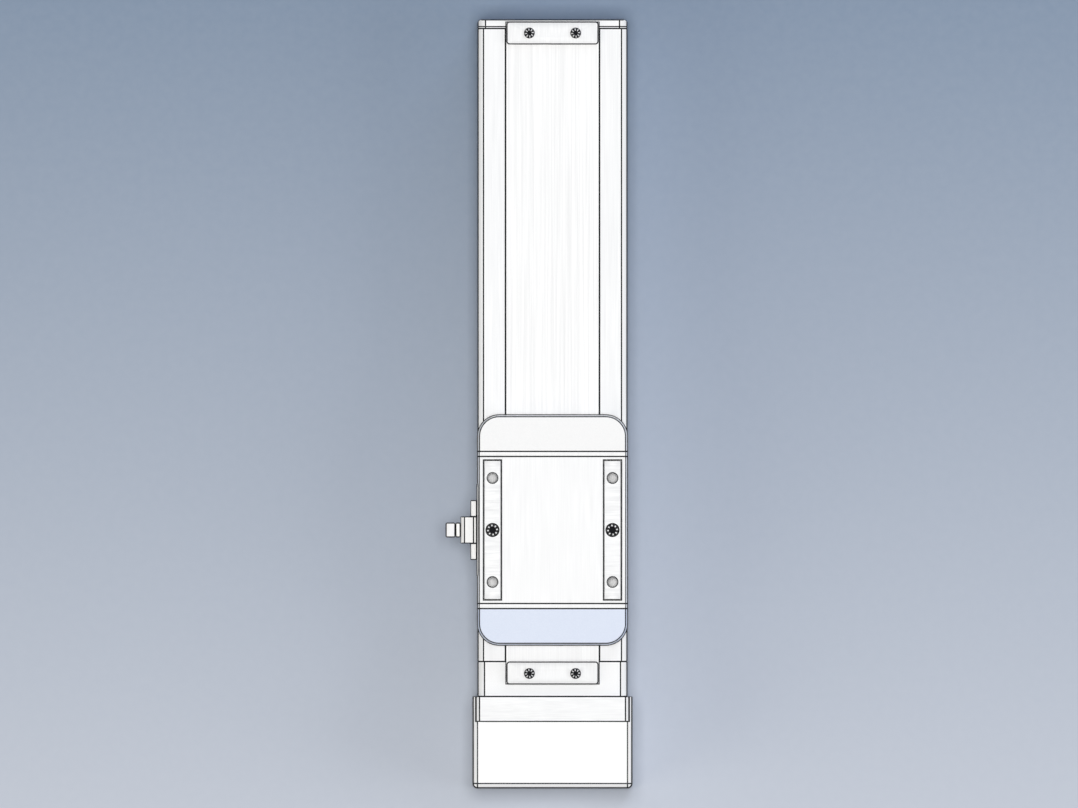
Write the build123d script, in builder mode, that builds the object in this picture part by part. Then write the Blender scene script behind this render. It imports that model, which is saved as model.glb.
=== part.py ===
from build123d import *
import math
import os

os.makedirs("parts", exist_ok=True)

# Ball screw linear axis. The axis runs along Y, with its drive end at negative Y.
# The origin lies on the mounting face, on the centre line, at the middle of the base.

# Travel
stroke = 250
overtravel = 4
near_free_length = 11.55
far_free_length = 9.35

# Base extrusion
base_edge_radius = 4.2
base_foot_chamfer = 0.8
floor_height = 14
lower_wall = 4.5
upper_wall = 9.5
upper_channel_height = 16
lip_width = 14
lip_thickness = 4
channel_corner_radius = 1.5
seat_width = 19.5
seat_relief = 1.5
chamber_width = 34
chamber_height = 6
groove_mouth = 3.4
groove_depth = 4.6
groove_head_height = 5.4
groove_head_depth = 1.8
clamp_groove_height = 7
sensor_groove_lift = 5
upper_port_inset = 5.9
upper_port_drop = 8
lower_port_inset = 15.5
lower_port_height = 8.5
mount_hole_diameter = 5
mount_hole_depth = 10
mount_inset = 9.5
mount_spacing_y = 100
mount_group_spacing = 260
cut_overrun = 1

# Screws: head diameter, head height, shank diameter, socket across corners
m3_head = (5.5, 3, 3, 2.9)
m4_head = (7, 4, 4, 3.5)
m4_button = (7.6, 2.2, 4, 2.9)
m4_flat = (7.5, 2.5, 4, 2.9)
m5_head = (8.5, 5, 5, 4.6)
button_radius = 1.4
socket_depth_share = 0.6
shank_clearance = 0.1
head_clearance = 0.35
head_sink = 0.4
flat_sink = 0.3
thread_reach = 6

# Rails and guide blocks
rail_width = 15
rail_height = 10
rail_pitch = 80
rail_end_gap = 2
rail_groove_radius = 1.2
rail_groove_height = 6.5
block_width = 32
block_height = 12
block_lift = 4
block_body_length = 29
block_seal_length = 7
block_seal_inset = 0.5
block_clearance = 0.25
block_side_gap = 1
block_end_gap = 0.5
block_screw_side_inset = 3.5
block_screw_end_inset = 4.5

# Ball screw and nut
thread_diameter = 16
fixed_journal = 12
motor_journal = 10
support_journal = 10
running_clearance = 0.03
nut_diameter = 28
nut_body_length = 40
nut_flange_flats = 40
nut_flange_length = 10
nut_flange_margin = 5
nut_screw_margin = 5
nut_screw_angles = (0, 30, 150, 180)
nut_lift = 2
nut_side_gap = 3.5
fit_clearance = 0.05

# Bearings
fixed_bearing_outside = 32
fixed_bearing_width = 10
support_bearing_outside = 26
support_bearing_width = 8
bearing_groove_depth = 0.6
bearing_ring_share = 0.28
clip_diameter = 14
clip_thickness = 1
clip_gap = 3
shaft_stand_out = 2

# Near bearing block, drive plate and hood
near_block_edge = 4.9
pocket_wall = 2
pocket_wall_bore = 26
retainer_length = 2.5
lock_nut_gap = 1
lock_nut_diameter = 22
lock_nut_length = 8
lock_nut_slot = 3
lock_nut_slot_depth = 2
plate_length = 17.5
plate_stand_out = 1.5
plate_edge = 2.8
plate_bore = 40
plate_foot_gap = 0.2
hood_overhang = 3.5
hood_length = 64.4
hood_wall = 2.1
hood_edge_radius = 3.5
hood_screw_lift = 15
hood_screw_drop = 8.5

# Motor in the hood
can_wall = 2
can_top_gap = 2.4
can_flange_reach = 1
can_flange_length = 5
can_flange_corner = 5
can_rear_wall = 3
can_shaft_hole = 14
can_bolt_inset = 5.25
post_diameter = 5
post_circle = 42
stator_diameter = 54
stator_bore = 31
stator_length = 23
stator_end_gap = 1
stator_slots = 12
stator_slot_width = 3.2
stator_slot_root = 46
air_gap = 0.5
rotor_length = 22
rotor_poles = 8
rotor_groove = 0.8
encoder_magnet_diameter = 8
encoder_magnet_length = 2.5
encoder_gap = 1
encoder_board_diameter = 48
board_thickness = 1.6
drive_board_width = 38
drive_board_height = 48
drive_board_place = -42
board_gap = 0.3
socket_width = 26
socket_height = 15
socket_depth = 11
socket_clearance = 0.1
socket_cavity_width = 20
socket_cavity_height = 8
socket_cavity_depth = 7
socket_side_gap = 1.9
socket_lift = 10.4

# Far end
far_block_length = 18.55
far_block_wall = 3
far_block_wall_bore = 20
far_block_side_gap = 2
far_block_gap = 0.3
far_block_screws = (30, 20)
end_seal_thickness = 1.4
end_cap_thickness = 4.9
end_cap_side_radius = 5.6
end_cap_corner = 2.8

# Cover strip, clamps and magnets
strip_thickness = 0.3
strip_margin = 0.6
clamp_side_inset = 0.8
clamp_length = 16.1
clamp_thickness = 3
clamp_corner = 2.1
clamp_screw_spacing = 32.4
clamp_set_back = 1.4
near_clamp_screw_place = 8.4
magnet_width = 2.4
magnet_depth = 1.5
magnet_edge = 1

# Slider
slider_side_inset = 0.2
slider_lift = 1
slider_height = 14
slider_corner = 15
slider_draft = 4
cover_length = 103
cover_wall = 2.2
cover_roof = 2
seal_plate_length = 3.5
cap_length = 25.5
cap_wall = 2.4
cap_top_radius = 1.2
cap_boss_diameter = 7.6
cap_screw_sink = 5.8
pad_inset = 10.3
pad_width = 11.9
pad_end_inset = 2.85
pad_stand_out = 0.5
pad_gap = 0.35
pad_hole_diameter = 6.8
pad_hole_spacing = 72.8
pad_hole_chamfer = 0.4

# Carriage inside the base and under the strip
wing_thickness = 10
wing_side_inset = 1
wing_end_inset = 15.5
neck_clearance = 2
flange_lift = 2.5
flange_thickness = 5
flange_gap = 0.9
channel_gap = 2
lip_gap = 1
strip_run_gap = 0.6
guide_gap = 0.35
guide_lift = 0.8
ramp_end_gap = 5
window_side_gap = 2
window_roof = 3
wiper_side_gap = 1
wiper_thickness = 1.6
wiper_height = 3.2
wiper_gap = 0.1
wiper_seat_gap = 0.3
bumper_diameter = 10
bumper_gap = 1
bumper_spacing = 72

# Lubrication port on the slider's left side
port_lift = 0.5
port_plate_length = 65.1
port_plate_height = 7
port_plate_stand_out = 0.9
port_flange_length = 42
port_flange_thickness = 4.2
port_flange_corner = 1.5
port_screw_spacing = 30
port_body_width = 18.9
port_body_height = 11
port_body_reach = 11.2
port_body_radius = 2.8
port_collar_reach = 2.1
port_collar_step = 0.4
nipple_width = 10.5
nipple_length = 3.5
nipple_corner = 1.2
nipple_stem = 6
nipple_stem_length = 4
nipple_cap_length = 7
nipple_cap_gap = 0.3

# Worked out from the sizes above: heights
block_base = floor_height + block_lift
block_top = block_base + block_height
wing_top = block_top + wing_thickness
upper_start = wing_top + channel_gap
lip_base = upper_start + upper_channel_height
base_height = lip_base + lip_thickness
neck_start = lip_base - lip_gap
flange_base = base_height + flange_lift
flange_top = flange_base + flange_thickness
flange_middle = flange_base + flange_thickness / 2
strip_run = flange_top + strip_run_gap
slider_base = base_height + slider_lift
slider_top = slider_base + slider_height
pad_top = slider_top + pad_stand_out
port_height = slider_base + port_lift + port_plate_height / 2
screw_height = floor_height + nut_lift + nut_flange_flats / 2
sensor_groove_height = upper_start + sensor_groove_lift
can_diameter = stator_diameter + 2 * can_wall
can_flange = can_diameter + 2 * can_flange_reach
hood_height = screw_height + can_flange / 2 + can_top_gap + hood_wall
plate_height = hood_height + plate_stand_out
hood_screw_heights = (hood_screw_lift, hood_height - hood_screw_drop)

# Worked out: widths
rail_spacing = nut_flange_flats + 2 * nut_side_gap + rail_width
block_screw_pitch = block_width - 2 * block_screw_side_inset
wing_width = rail_spacing + block_width - 2 * wing_side_inset
base_width = rail_spacing + block_width + 2 * (block_side_gap + lower_wall)
lower_half = base_width / 2 - lower_wall
upper_half = base_width / 2 - upper_wall
opening_width = 2 * (upper_half - lip_width)
neck_width = opening_width - 2 * neck_clearance
strip_width = opening_width + 2 * (magnet_edge + magnet_width + strip_margin)
clamp_width = strip_width - 2 * clamp_side_inset
window_width = strip_width + 2 * window_side_gap
wiper_width = strip_width + 2 * wiper_side_gap
slider_width = base_width - 2 * slider_side_inset
flange_width = slider_width - 2 * (cover_wall + flange_gap)
pad_spacing = slider_width - 2 * pad_inset
mount_spacing_x = base_width - 2 * mount_inset
hood_width = base_width + 2 * hood_overhang
hood_inner = hood_width - 2 * hood_wall
port_upper = (base_width / 2 - upper_port_inset, base_height - upper_port_drop)
port_lower = (base_width / 2 - lower_port_inset, lower_port_height)
socket_place = (hood_inner / 2 - socket_side_gap - socket_width / 2,
                hood_wall + socket_lift + socket_height / 2)
nut_screw_circle = nut_diameter + 2 * nut_screw_margin
nut_flange_diameter = nut_screw_circle + 2 * nut_flange_margin
retainer_bore = lock_nut_diameter + 2 * lock_nut_gap
rotor_diameter = stator_bore - 2 * air_gap
can_bolt_spacing = can_flange - 2 * can_bolt_inset

# Worked out: lengths and places along the axis
slider_length = cover_length + 2 * (seal_plate_length + cap_length)
pad_length = cover_length - 2 * pad_end_inset
wing_length = slider_length - 2 * wing_end_inset
ramp_length = seal_plate_length + cap_length - ramp_end_gap
end_cover = end_seal_thickness + end_cap_thickness
far_clamp_cover = clamp_length + clamp_set_back - end_cover
base_length = near_free_length + slider_length + stroke + far_free_length + far_clamp_cover
near_end = -base_length / 2
far_end = base_length / 2
slider_home = near_end + near_free_length + slider_length / 2
slider_near_end = slider_home - slider_length / 2
slider_far_end = slider_home + slider_length / 2
block_screw_row = block_body_length - 2 * block_screw_end_inset
block_length = block_body_length + 2 * block_seal_length
block_place = wing_length / 2 - block_length / 2 - block_end_gap
near_block_length = pocket_wall + 2 * fixed_bearing_width + retainer_length
near_block_rear = near_end - near_block_length
plate_rear = near_block_rear - plate_length
hood_rear = near_block_rear - hood_length
near_bearing_face = near_end - pocket_wall
lock_nut_face = near_bearing_face - 2 * fixed_bearing_width
lock_nut_rear = lock_nut_face - lock_nut_length
far_block_front = far_end - far_block_length
support_face = far_block_front + far_block_wall
clip_face = support_face + support_bearing_width
rotor_front = plate_rear - can_flange_length
can_length = can_flange_length + stator_length + stator_end_gap + can_rear_wall
can_rear = plate_rear - can_length
shaft_end = can_rear - clip_thickness
encoder_face = shaft_end - encoder_magnet_length - encoder_gap
near_clamp_center = near_end - clamp_length / 2
far_clamp_center = far_end + end_cover - clamp_set_back - clamp_length / 2
near_clamp_screws = near_end - near_clamp_screw_place
strip_near_end = near_clamp_center - clamp_length / 2
strip_far_end = far_clamp_center + clamp_length / 2
rail_near_end = near_end + rail_end_gap
rail_far_end = far_block_front - rail_end_gap
rail_middle = (rail_near_end + rail_far_end) / 2
rail_length = rail_far_end - rail_near_end
rail_hole_count = math.floor((rail_length - rail_width) / rail_pitch) + 1
magnet_place = opening_width / 2 + magnet_edge + magnet_width / 2
port_wall = slider_width / 2 + port_plate_stand_out
nipple_face = port_wall + port_body_reach
hood_screw_place = near_block_rear - plate_length / 2


def across(y, hand=-1):
    # Upright plane across the axis at y, facing the drive end (hand -1) or the far end (hand 1)
    return Plane(origin=(0, y, 0), x_dir=(-hand, 0, 0), z_dir=(0, hand, 0))


def beside(x, hand):
    # Upright plane along the axis, facing outwards on the left (hand -1) or the right (hand 1)
    return Plane(origin=(hand * x, 0, 0), x_dir=(0, hand, 0), z_dir=(hand, 0, 0))


def level(z):
    return Plane.XY.offset(z)


def both_hands(x, y):
    return [(-x, y), (x, y)]


def spaced(middle, pitch, count):
    return [middle + (step - (count - 1) / 2) * pitch for step in range(count)]


def save(piece, name):
    piece.part.label = name
    export_step(piece.part, f"parts/{name}.step")


def drill(plane, spots, diameter, depth):
    # Round holes in the open part, from the plane into the material behind it
    with BuildSketch(plane) as holes:
        with Locations(*spots):
            Circle(diameter / 2)
    extrude(holes.sketch, amount=-depth, mode=Mode.SUBTRACT)


def sink(plane, spots, sizes):
    # Countersinks that take the heads made by flat_screws
    with BuildSketch(plane.offset(-flat_sink)) as rims:
        with Locations(*spots):
            Circle(sizes[0] / 2 + fit_clearance)
    extrude(rims.sketch, amount=flat_sink, mode=Mode.SUBTRACT)
    extrude(rims.sketch, amount=-(sizes[0] - sizes[2]) / 2, taper=45, mode=Mode.SUBTRACT)


def socket_screws(seat, spots, sizes, length, dome=0):
    # Screws with their heads on the seat plane and their shanks in the material behind it
    head, rise, shank, key = sizes
    with BuildPart() as screws:
        with BuildSketch(seat):
            with Locations(*spots):
                Circle(head / 2)
        extrude(amount=rise)
        if dome:
            fillet(screws.edges().group_by(lambda edge: seat.to_local_coords(edge.center()).Z)[-1], dome)
        with BuildSketch(seat):
            with Locations(*spots):
                Circle(shank / 2)
        extrude(amount=-length)
        with BuildSketch(seat.offset(rise)):
            with Locations(*spots):
                RegularPolygon(key / 2, 6)
        extrude(amount=-rise * socket_depth_share, mode=Mode.SUBTRACT)
    return screws


def flat_screws(face, spots, sizes, length):
    # Countersunk screws whose heads end just below the face
    head, rise, shank, key = sizes
    top = face.offset(-flat_sink)
    with BuildPart() as screws:
        with BuildSketch(top):
            with Locations(*spots):
                Circle(head / 2)
        extrude(amount=-(head - shank) / 2, taper=45)
        with BuildSketch(top):
            with Locations(*spots):
                Circle(shank / 2)
        extrude(amount=flat_sink - length)
        with BuildSketch(top):
            with Locations(*spots):
                RegularPolygon(key / 2, 6)
        extrude(amount=-rise * socket_depth_share / 2, mode=Mode.SUBTRACT)
    return screws


def bearings(faces, outside, bore, width):
    # Closed ball bearings, each with a shallow groove between its rings on both faces
    ring = (outside - bore) / 2 * bearing_ring_share
    with BuildPart() as rings:
        for face in faces:
            with BuildSketch(across(face)):
                with Locations((0, screw_height)):
                    Circle(outside / 2)
                    Circle(bore / 2, mode=Mode.SUBTRACT)
            extrude(amount=width)
        for groove in (max(faces), min(faces) - width + bearing_groove_depth):
            with BuildSketch(across(groove)):
                with Locations((0, screw_height)):
                    Circle(outside / 2 - ring)
                    Circle(bore / 2 + ring, mode=Mode.SUBTRACT)
            extrude(amount=bearing_groove_depth, mode=Mode.SUBTRACT)
    return rings


def block_outline(width, base, height, edge, foot):
    # Upright block outline with rounded upper corners and small chamfers at the foot
    with BuildSketch() as outline:
        with Locations((0, base)):
            Rectangle(width, height - base, align=(Align.CENTER, Align.MIN))
        fillet(outline.vertices().group_by(Axis.Y)[-1], edge)
        chamfer(outline.vertices().group_by(Axis.Y)[0], foot)
    return outline.sketch


def slider_form(inset=0, roof=0, top_radius=0):
    # Drafted body with large rounded corners, which the slider's cover, plates and caps are cut from
    with BuildPart() as form:
        with BuildSketch(level(slider_base)):
            with Locations((0, slider_home)):
                RectangleRounded(slider_width - 2 * inset, slider_length - 2 * inset, slider_corner - inset)
        extrude(amount=slider_height - roof, taper=slider_draft)
        if top_radius:
            fillet(form.edges().group_by(Axis.Z)[-1], top_radius)
    return form.part


def slider_slice(near, far):
    # Keeps the part of the open piece between two distances from the slider's middle
    split(bisect_by=across(slider_home + far), keep=Keep.TOP)
    split(bisect_by=across(slider_home + near), keep=Keep.BOTTOM)


def strip_ramp(hand, drop=0):
    # The strip's rise inside one end of the slider, as two equal arcs, from the base up to its run
    foot = (slider_home + hand * (cover_length / 2 + ramp_length), base_height - drop)
    crest = (slider_home + hand * cover_length / 2, strip_run - drop)
    middle = ((foot[0] + crest[0]) / 2, (foot[1] + crest[1]) / 2)
    rise = TangentArc(foot, middle, tangent=(-hand, 0))
    TangentArc(middle, crest, tangent=rise % 1)
    return foot, crest


# Base extrusion

groove_head_place = base_width / 2 - groove_depth + groove_head_depth / 2

with BuildSketch() as channel:
    with Locations((0, floor_height)):
        Rectangle(2 * lower_half, upper_start - floor_height, align=(Align.CENTER, Align.MIN))
    with Locations((0, upper_start)):
        Rectangle(2 * upper_half, lip_base - upper_start, align=(Align.CENTER, Align.MIN))
    fillet(channel.vertices(), channel_corner_radius)

with BuildPart() as base_extrusion:
    with BuildSketch(across(0)):
        add(block_outline(base_width, 0, base_height, base_edge_radius, base_foot_chamfer))
        add(channel.sketch, mode=Mode.SUBTRACT)
        with Locations((0, base_height)):
            Rectangle(opening_width, 2 * (lip_thickness + cut_overrun), mode=Mode.SUBTRACT)
        with Locations((0, floor_height)):
            Rectangle(rail_spacing - seat_width, 2 * seat_relief, mode=Mode.SUBTRACT)
        with Locations((0, (floor_height - seat_relief) / 2)):
            SlotOverall(chamber_width, chamber_height, mode=Mode.SUBTRACT)
        for groove_height in (clamp_groove_height, sensor_groove_height):
            with Locations(*both_hands(base_width / 2, groove_height)):
                Rectangle(2 * groove_depth, groove_mouth, mode=Mode.SUBTRACT)
            with Locations(*both_hands(groove_head_place, groove_height)):
                Rectangle(groove_head_depth, groove_head_height, mode=Mode.SUBTRACT)
        with Locations(*both_hands(*port_upper), *both_hands(*port_lower)):
            Circle(m4_head[2] / 2 + shank_clearance, mode=Mode.SUBTRACT)
        with Locations(*both_hands(magnet_place, base_height)):
            Rectangle(magnet_width, 2 * magnet_depth, mode=Mode.SUBTRACT)
    extrude(amount=base_length / 2, both=True)
    rail_spots = [(x, y) for x in (-rail_spacing / 2, rail_spacing / 2)
                  for y in spaced(rail_middle, rail_pitch, rail_hole_count)]
    drill(level(floor_height), rail_spots, m4_head[2] + 2 * shank_clearance, thread_reach)
    mount_spots = [(x, y) for x in spaced(0, mount_spacing_x, 2)
                   for group in spaced(0, mount_group_spacing, 2) for y in spaced(group, mount_spacing_y, 2)]
    drill(level(mount_hole_depth), mount_spots, mount_hole_diameter, mount_hole_depth)
save(base_extrusion, "base_extrusion")

with BuildPart() as magnet_strips:
    with BuildSketch(across(0)):
        with Locations(*both_hands(magnet_place, base_height - magnet_depth)):
            Rectangle(magnet_width - 2 * fit_clearance, magnet_depth, align=(Align.CENTER, Align.MIN))
    extrude(amount=base_length / 2, both=True)
save(magnet_strips, "magnet_strips")


# Rails with their screws

def make_rail(hand):
    with BuildPart() as rail:
        with BuildSketch(across(rail_far_end)):
            with Locations((hand * rail_spacing / 2, floor_height)):
                Rectangle(rail_width, rail_height, align=(Align.CENTER, Align.MIN))
            with Locations((hand * rail_spacing / 2, floor_height + rail_groove_height)):
                with Locations(*both_hands(rail_width / 2, 0)):
                    Circle(rail_groove_radius, mode=Mode.SUBTRACT)
        extrude(amount=rail_length)
        spots = [spot for spot in rail_spots if spot[0] * hand > 0]
        rail_top = level(floor_height + rail_height)
        drill(rail_top, spots, m4_head[2] + 2 * shank_clearance, rail_height)
        drill(rail_top, spots, m4_head[0] + 2 * head_clearance, m4_head[1] + head_sink)
    return rail


left_rail = make_rail(-1)
right_rail = make_rail(1)
save(left_rail, "left_rail")
save(right_rail, "right_rail")

rail_seat = floor_height + rail_height - m4_head[1] - head_sink
rail_screw_length = rail_seat - floor_height + thread_reach - head_sink
rail_screws = socket_screws(level(rail_seat), rail_spots, m4_head, rail_screw_length)
save(rail_screws, "rail_screws")


# Near bearing block with the fixed bearings

clamp_spots = both_hands(clamp_screw_spacing / 2, near_clamp_screws)
port_spots = both_hands(*port_upper) + both_hands(*port_lower)

with BuildPart() as near_bearing_block:
    with BuildSketch(across(near_end)):
        add(block_outline(base_width, 0, base_height, near_block_edge, base_foot_chamfer))
    extrude(amount=near_block_length)
    drill(across(near_end, 1), [(0, screw_height)], pocket_wall_bore, near_block_length)
    drill(across(near_block_rear), [(0, screw_height)], fixed_bearing_outside + 2 * fit_clearance,
          near_block_length - pocket_wall)
    drill(across(near_block_rear), port_spots, m4_head[2] + 2 * shank_clearance, near_block_length)
    drill(level(base_height), clamp_spots, m4_button[2] + 2 * shank_clearance, thread_reach + head_sink)
save(near_bearing_block, "near_bearing_block")

fixed_bearings = bearings(
    [near_bearing_face, near_bearing_face - fixed_bearing_width],
    fixed_bearing_outside, fixed_journal + 2 * running_clearance, fixed_bearing_width)
save(fixed_bearings, "fixed_bearings")

with BuildPart() as bearing_retainer:
    with BuildSketch(across(lock_nut_face)):
        with Locations((0, screw_height)):
            Circle(fixed_bearing_outside / 2)
            Circle(retainer_bore / 2, mode=Mode.SUBTRACT)
    extrude(amount=lock_nut_face - near_block_rear)
save(bearing_retainer, "bearing_retainer")


# Far bearing block with the support bearing, and the end cap

far_clamp_spots = both_hands(clamp_screw_spacing / 2, far_clamp_center)

with BuildPart() as far_bearing_block:
    with BuildSketch(across(far_end)):
        with Locations((0, floor_height)):
            Rectangle(2 * (lower_half - far_block_side_gap), upper_start - far_block_gap - floor_height,
                      align=(Align.CENTER, Align.MIN))
            Rectangle(2 * (upper_half - far_block_side_gap), lip_base - far_block_gap - floor_height,
                      align=(Align.CENTER, Align.MIN))
            Rectangle(opening_width - 2 * far_block_gap, base_height - floor_height,
                      align=(Align.CENTER, Align.MIN))
    extrude(amount=far_block_length)
    drill(across(far_end, 1), [(0, screw_height)], far_block_wall_bore, far_block_length)
    drill(across(far_end, 1), [(0, screw_height)], support_bearing_outside + 2 * fit_clearance,
          far_block_length - far_block_wall)
    drill(across(far_end, 1), both_hands(*far_block_screws), m4_head[2] + 2 * shank_clearance,
          thread_reach + head_sink)
    drill(level(base_height), far_clamp_spots, m4_button[2] + 2 * shank_clearance, thread_reach + head_sink)
save(far_bearing_block, "far_bearing_block")

support_bearing = bearings(
    [clip_face], support_bearing_outside, support_journal + 2 * running_clearance, support_bearing_width)
save(support_bearing, "support_bearing")

seal_face = far_end + end_seal_thickness
end_cap_face = far_end + end_cover
end_cap_spots = port_spots + both_hands(*far_block_screws)

with BuildPart() as end_seal:
    with BuildSketch(across(seal_face)):
        add(block_outline(base_width, 0, base_height, end_cap_side_radius, base_foot_chamfer))
    extrude(amount=end_seal_thickness)
    drill(across(seal_face, 1), end_cap_spots, m4_flat[2] + 2 * shank_clearance, end_seal_thickness)
save(end_seal, "end_seal")

with BuildPart() as far_end_cap:
    with BuildSketch(across(end_cap_face)):
        add(block_outline(base_width, 0, base_height, end_cap_side_radius, base_foot_chamfer))
    extrude(amount=end_cap_thickness)
    with BuildSketch(level(0)) as cap_plan:
        with Locations((0, seal_face)):
            Rectangle(base_width, end_cap_thickness, align=(Align.CENTER, Align.MIN))
        fillet(cap_plan.vertices().group_by(Axis.Y)[-1], end_cap_corner)
    extrude(amount=base_height, mode=Mode.INTERSECT)
    drill(across(end_cap_face, 1), end_cap_spots, m4_flat[2] + 2 * shank_clearance, end_cap_thickness)
    sink(across(end_cap_face, 1), end_cap_spots, m4_flat)
save(far_end_cap, "far_end_cap")

end_cap_screws = flat_screws(across(end_cap_face, 1), end_cap_spots, m4_flat, end_cover + thread_reach)
save(end_cap_screws, "end_cap_screws")


# Drive plate, hood and socket

can_spots = [(x, z) for x in spaced(0, can_bolt_spacing, 2)
             for z in spaced(screw_height, can_bolt_spacing, 2)]
plate_foot = hood_wall + plate_foot_gap

with BuildPart() as drive_plate:
    with BuildSketch(across(near_block_rear)):
        add(block_outline(hood_inner, plate_foot, plate_height, plate_edge, base_foot_chamfer))
    extrude(amount=plate_length)
    drill(across(plate_rear), [(0, screw_height)], plate_bore, plate_length)
    drill(across(plate_rear), port_spots, m4_head[2] + 2 * shank_clearance, plate_length)
    drill(across(plate_rear), port_spots, m4_head[0] + 2 * head_clearance, m4_head[1] + head_sink)
    drill(across(plate_rear), can_spots, m4_head[2] + 2 * shank_clearance, thread_reach + head_sink)
    for hand in (-1, 1):
        hood_spots = [(hand * hood_screw_place, z) for z in hood_screw_heights]
        drill(beside(hood_inner / 2, hand), hood_spots, m3_head[2] + 2 * shank_clearance,
              thread_reach + head_sink)
save(drive_plate, "drive_plate")

plate_seat = plate_rear + m4_head[1] + head_sink
drive_plate_screws = socket_screws(
    across(plate_seat), port_spots, m4_head, near_end - plate_seat + thread_reach)
save(drive_plate_screws, "drive_plate_screws")

with BuildPart() as drive_hood:
    with BuildSketch(level(0)):
        with Locations((0, hood_rear)):
            Rectangle(hood_width, hood_length, align=(Align.CENTER, Align.MIN))
    extrude(amount=hood_height)
    fillet(drive_hood.edges().filter_by(Axis.Z).group_by(Axis.Y)[0], hood_edge_radius)
    fillet(drive_hood.edges().group_by(Axis.Z)[-1].filter_by(
        lambda edge: edge.center().Y < near_block_rear - hood_wall), hood_edge_radius)
    with BuildSketch(across(near_block_rear)):
        with Locations((0, hood_wall)):
            Rectangle(hood_inner, hood_height - 2 * hood_wall, align=(Align.CENTER, Align.MIN))
    extrude(amount=hood_length - hood_wall, mode=Mode.SUBTRACT)
    with BuildSketch(across(near_block_rear)):
        with Locations((0, hood_wall)):
            Rectangle(hood_inner, hood_height, align=(Align.CENTER, Align.MIN))
    extrude(amount=plate_length, mode=Mode.SUBTRACT)
    with BuildSketch(across(hood_rear)):
        with Locations(socket_place):
            Rectangle(socket_width + 2 * socket_clearance, socket_height + 2 * socket_clearance)
    extrude(amount=-hood_wall, mode=Mode.SUBTRACT)
    for hand in (-1, 1):
        hood_spots = [(hand * hood_screw_place, z) for z in hood_screw_heights]
        drill(beside(hood_width / 2, hand), hood_spots, m3_head[2] + 2 * shank_clearance, hood_wall)
        sink(beside(hood_width / 2, hand), hood_spots, m3_head)
save(drive_hood, "drive_hood")

with BuildPart() as hood_screws:
    for hand in (-1, 1):
        hood_spots = [(hand * hood_screw_place, z) for z in hood_screw_heights]
        add(flat_screws(beside(hood_width / 2, hand), hood_spots, m3_head, hood_wall + thread_reach).part)
save(hood_screws, "hood_screws")

with BuildPart() as drive_socket:
    with BuildSketch(across(hood_rear)):
        with Locations(socket_place):
            Rectangle(socket_width, socket_height)
    extrude(amount=-socket_depth)
    with BuildSketch(across(hood_rear)):
        with Locations(socket_place):
            RectangleRounded(socket_cavity_width, socket_cavity_height, socket_cavity_height / 4)
    extrude(amount=-socket_cavity_depth, mode=Mode.SUBTRACT)
save(drive_socket, "drive_socket")


# Motor built on the ball screw's own journal

with BuildPart() as motor_can:
    with BuildSketch(across(plate_rear)):
        with Locations((0, screw_height)):
            RectangleRounded(can_flange, can_flange, can_flange_corner)
    extrude(amount=can_flange_length)
    with BuildSketch(across(plate_rear)):
        with Locations((0, screw_height)):
            Circle(can_diameter / 2)
    extrude(amount=can_length)
    with BuildSketch(across(can_rear)):
        with Locations((0, screw_height)):
            with PolarLocations(post_circle / 2, 3):
                Circle(post_diameter / 2)
    extrude(amount=can_rear - encoder_face)
    drill(across(plate_rear, 1), [(0, screw_height)], stator_diameter + 2 * fit_clearance,
          can_length - can_rear_wall)
    drill(across(can_rear), [(0, screw_height)], can_shaft_hole, can_rear_wall)
    drill(across(rotor_front), can_spots, m4_head[2] + 2 * shank_clearance, can_flange_length)
save(motor_can, "motor_can")

motor_screws = socket_screws(across(rotor_front), can_spots, m4_head, can_flange_length + thread_reach)
save(motor_screws, "motor_screws")

slot_length = (stator_slot_root - stator_bore) / 2 + cut_overrun

with BuildPart() as motor_stator:
    with BuildSketch(across(rotor_front)):
        with Locations((0, screw_height)):
            Circle(stator_diameter / 2)
            with PolarLocations((stator_slot_root + stator_bore) / 4, stator_slots):
                Rectangle(slot_length, stator_slot_width, mode=Mode.SUBTRACT)
            Circle(stator_bore / 2, mode=Mode.SUBTRACT)
    extrude(amount=stator_length)
save(motor_stator, "motor_stator")

with BuildPart() as encoder_board:
    with BuildSketch(across(encoder_face)):
        with Locations((0, screw_height)):
            Circle(encoder_board_diameter / 2)
    extrude(amount=board_thickness)
save(encoder_board, "encoder_board")

with BuildPart() as drive_board:
    with BuildSketch(beside(-drive_board_place, -1)):
        with Locations((board_gap - plate_rear, screw_height)):
            Rectangle(drive_board_width, drive_board_height, align=(Align.MIN, Align.CENTER))
    extrude(amount=board_thickness)
save(drive_board, "drive_board")


# Ball screw and what turns with it

with BuildPart() as ball_screw:
    for diameter, start, end in (
            (thread_diameter, near_bearing_face, support_face),
            (support_journal, support_face, clip_face + clip_thickness + shaft_stand_out),
            (fixed_journal, lock_nut_rear, near_bearing_face),
            (motor_journal, shaft_end, lock_nut_rear)):
        with BuildSketch(across(end)):
            with Locations((0, screw_height)):
                Circle(diameter / 2)
        extrude(amount=end - start)
save(ball_screw, "ball_screw")

with BuildPart() as lock_nut:
    with BuildSketch(across(lock_nut_face)):
        with Locations((0, screw_height)):
            Circle(lock_nut_diameter / 2)
            with PolarLocations(lock_nut_diameter / 2, 4):
                Rectangle(2 * lock_nut_slot_depth, lock_nut_slot, mode=Mode.SUBTRACT)
            Circle(fixed_journal / 2 + fit_clearance, mode=Mode.SUBTRACT)
    extrude(amount=lock_nut_length)
save(lock_nut, "lock_nut")

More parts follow.
